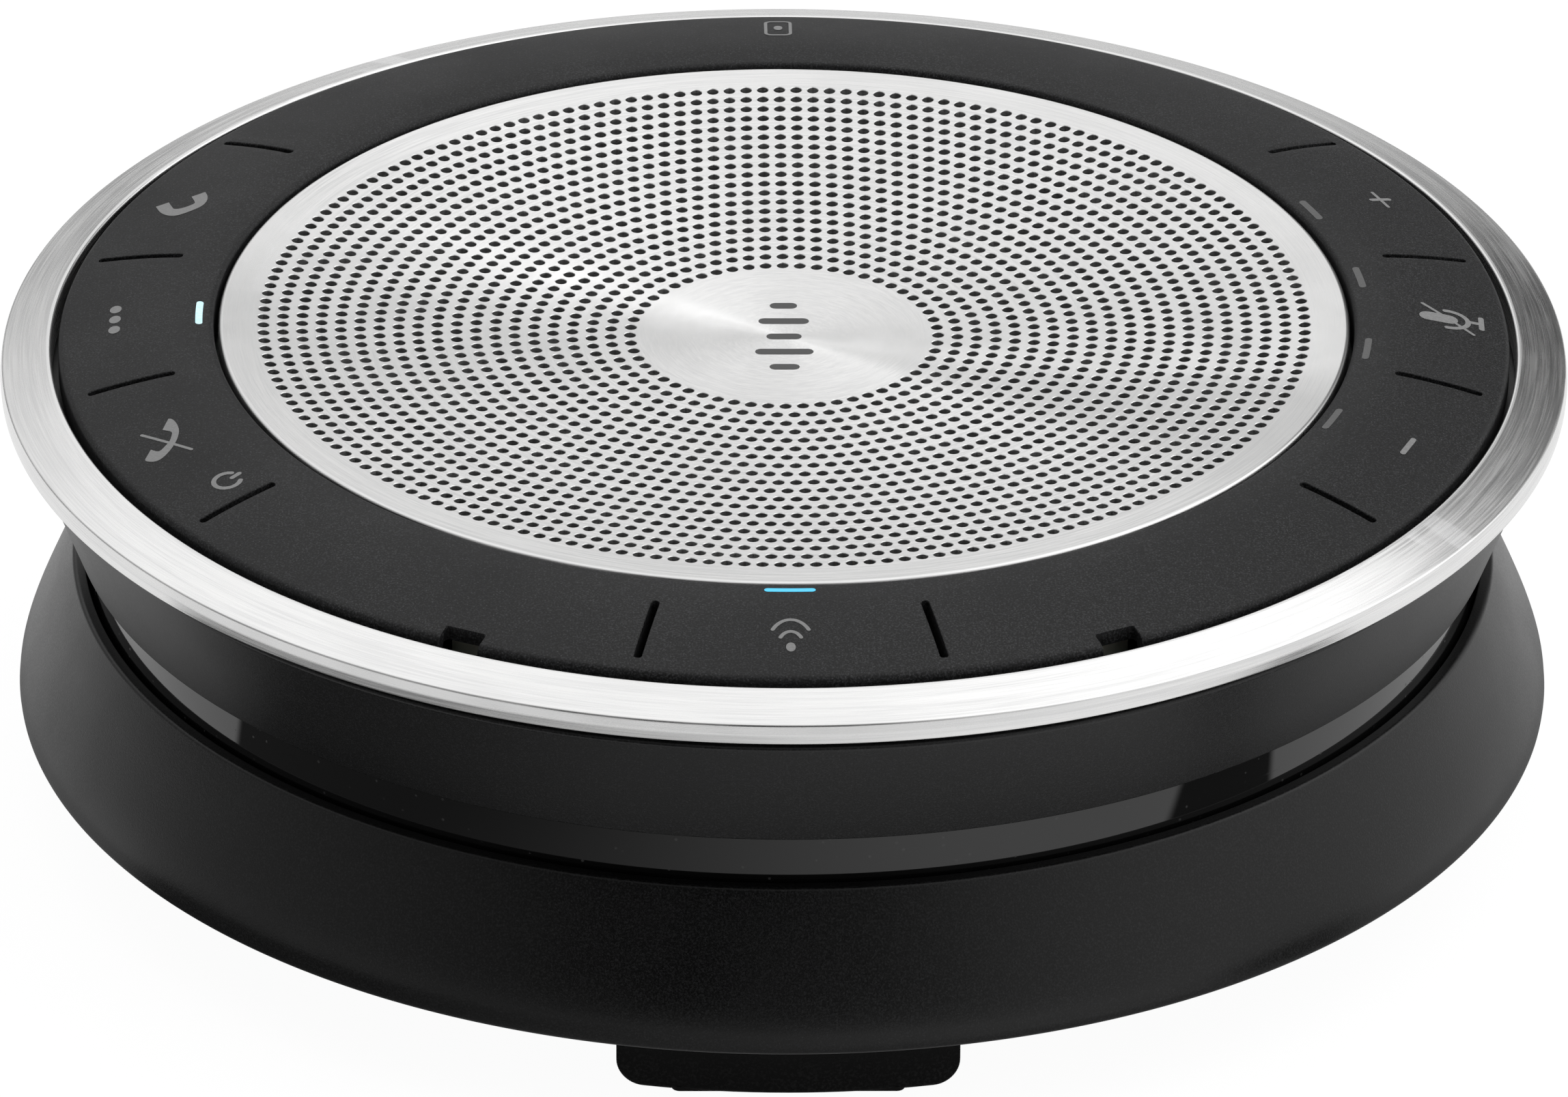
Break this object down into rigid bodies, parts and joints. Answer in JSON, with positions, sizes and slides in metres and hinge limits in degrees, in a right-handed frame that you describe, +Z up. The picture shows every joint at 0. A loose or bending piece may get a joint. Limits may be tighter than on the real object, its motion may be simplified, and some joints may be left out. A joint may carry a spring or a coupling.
{
  "type": "conference speakerphone",
  "caption": "Round table-top speakerphone with a dished perforated metal grille, a brushed rim, a soft-touch key ring, a waisted black housing and rubber feet.",
  "frame": {"origin": "middle of the circle that the feet stand on, at table level", "axes": "+Z up, +Y to the back of the object as the picture shows it, +X to its right; the pairing key faces -Y"},
  "size_m": [0.122, 0.122, 0.0391],
  "materials": {
    "rim_metal": "brushed round its circumference",
    "grille_metal": "circularly brushed",
    "soft_touch": "fine matte soft-touch grain",
    "black_plastic": "matte",
    "gloss_black": "polished",
    "matte_black": "fine matte grain",
    "foot_rubber": "matte",
    "surround_rubber": "satin",
    "gasket_foam": "foam",
    "acoustic_cloth": "fine open weave",
    "polyimide_film": "amber film",
    "lit_white": "frosted, lit white",
    "lit_blue": "frosted, lit blue",
    "unlit_pipe": "frosted, unlit",
    "cone_paper": "pressed paper",
    "copper": "enamelled winding",
    "steel": "zinc plated",
    "basket": "satin black",
    "magnet": "nickel plated",
    "tinned_steel": "tinned",
    "switch_metal": "satin",
    "board": "solder mask",
    "battery_wrap": "satin wrap"
  },
  "bodies": {
    "housing": {"metal_rim": "rim_metal", "speaker_grille": "grille_metal", "keypad_ring": "soft_touch", "upper_housing": "black_plastic", "waist_band": "gloss_black", "base_skirt": "matte_black", "bottom_cover": "matte_black", "foot_front": "foot_rubber", "foot_right": "foot_rubber", "foot_back": "foot_rubber", "foot_left": "foot_rubber", "cone_surround": "surround_rubber", "speaker_gasket": "gasket_foam", "grille_cloth": "acoustic_cloth", "cone_spider": "acoustic_cloth", "keypad_ribbon": "polyimide_film", "tap_antenna": "polyimide_film", "light_pipe_menu": "lit_white", "light_pipe_pairing": "lit_blue", "light_pipe_level_1": "unlit_pipe", "light_pipe_level_2": "unlit_pipe", "light_pipe_level_3": "unlit_pipe", "light_pipe_level_4": "unlit_pipe", "magnet_top_plate": "steel", "magnet_yoke": "steel", "speaker_screw_1": "steel", "speaker_screw_2": "steel", "speaker_screw_3": "steel", "base_screw_1": "steel", "base_screw_2": "steel", "base_screw_3": "steel", "base_screw_4": "steel", "speaker_basket": "basket", "speaker_magnet": "magnet", "shield_can": "tinned_steel", "usb_socket": "tinned_steel", "switch_answer_call": "switch_metal", "switch_menu": "switch_metal", "switch_end_call": "switch_metal", "switch_volume_up": "switch_metal", "switch_mute": "switch_metal", "switch_volume_down": "switch_metal", "switch_pairing": "switch_metal", "microphone_left": "switch_metal", "microphone_right": "switch_metal", "keypad_board": "board", "main_board": "board", "usb_board": "board", "battery": "battery_wrap"},
    "cone_assembly": {"speaker_cone": "cone_paper", "dust_cap": "cone_paper", "voice_coil": "copper"},
    "key_answer_call_body": {"key_answer_call": "soft_touch"},
    "key_menu_body": {"key_menu": "soft_touch"},
    "key_end_call_body": {"key_end_call": "soft_touch"},
    "key_volume_up_body": {"key_volume_up": "soft_touch"},
    "key_mute_body": {"key_mute": "soft_touch"},
    "key_volume_down_body": {"key_volume_down": "soft_touch"},
    "key_pairing_body": {"key_pairing": "soft_touch"}
  },
  "joints": [
    {"name": "answer_call_press", "type": "hinge", "parent": "housing", "child": "key_answer_call_body", "pos_m": [-0.04266, 0.019, 0.038], "axis": [-0.4067, -0.9135, 0], "range_deg": [0, 2.5], "stiffness_Nm_per_rad": 0.2},
    {"name": "menu_press", "type": "hinge", "parent": "housing", "child": "key_menu_body", "pos_m": [-0.0467, 0, 0.038], "axis": [0, -1, 0], "range_deg": [0, 2.5], "stiffness_Nm_per_rad": 0.2},
    {"name": "end_call_press", "type": "hinge", "parent": "housing", "child": "key_end_call_body", "pos_m": [-0.04266, -0.019, 0.038], "axis": [0.4067, -0.9135, 0], "range_deg": [0, 2.5], "stiffness_Nm_per_rad": 0.2},
    {"name": "volume_up_press", "type": "hinge", "parent": "housing", "child": "key_volume_up_body", "pos_m": [0.04266, 0.019, 0.038], "axis": [-0.4067, 0.9135, 0], "range_deg": [0, 2.5], "stiffness_Nm_per_rad": 0.2},
    {"name": "mute_press", "type": "hinge", "parent": "housing", "child": "key_mute_body", "pos_m": [0.0467, 0, 0.038], "axis": [0, 1, 0], "range_deg": [0, 2.5], "stiffness_Nm_per_rad": 0.2},
    {"name": "volume_down_press", "type": "hinge", "parent": "housing", "child": "key_volume_down_body", "pos_m": [0.04266, -0.019, 0.038], "axis": [0.4067, 0.9135, 0], "range_deg": [0, 2.5], "stiffness_Nm_per_rad": 0.2},
    {"name": "pairing_press", "type": "hinge", "parent": "housing", "child": "key_pairing_body", "pos_m": [0, -0.0467, 0.038], "axis": [1, 0, 0], "range_deg": [0, 2.5], "stiffness_Nm_per_rad": 0.2},
    {"name": "cone_stroke", "type": "slide", "parent": "housing", "child": "cone_assembly", "axis": [0, 0, 1], "range_m": [-0.0008, 0.0008], "stiffness_N_per_m": 1500, "deforming": ["cone_surround", "cone_spider"]}
  ]
}
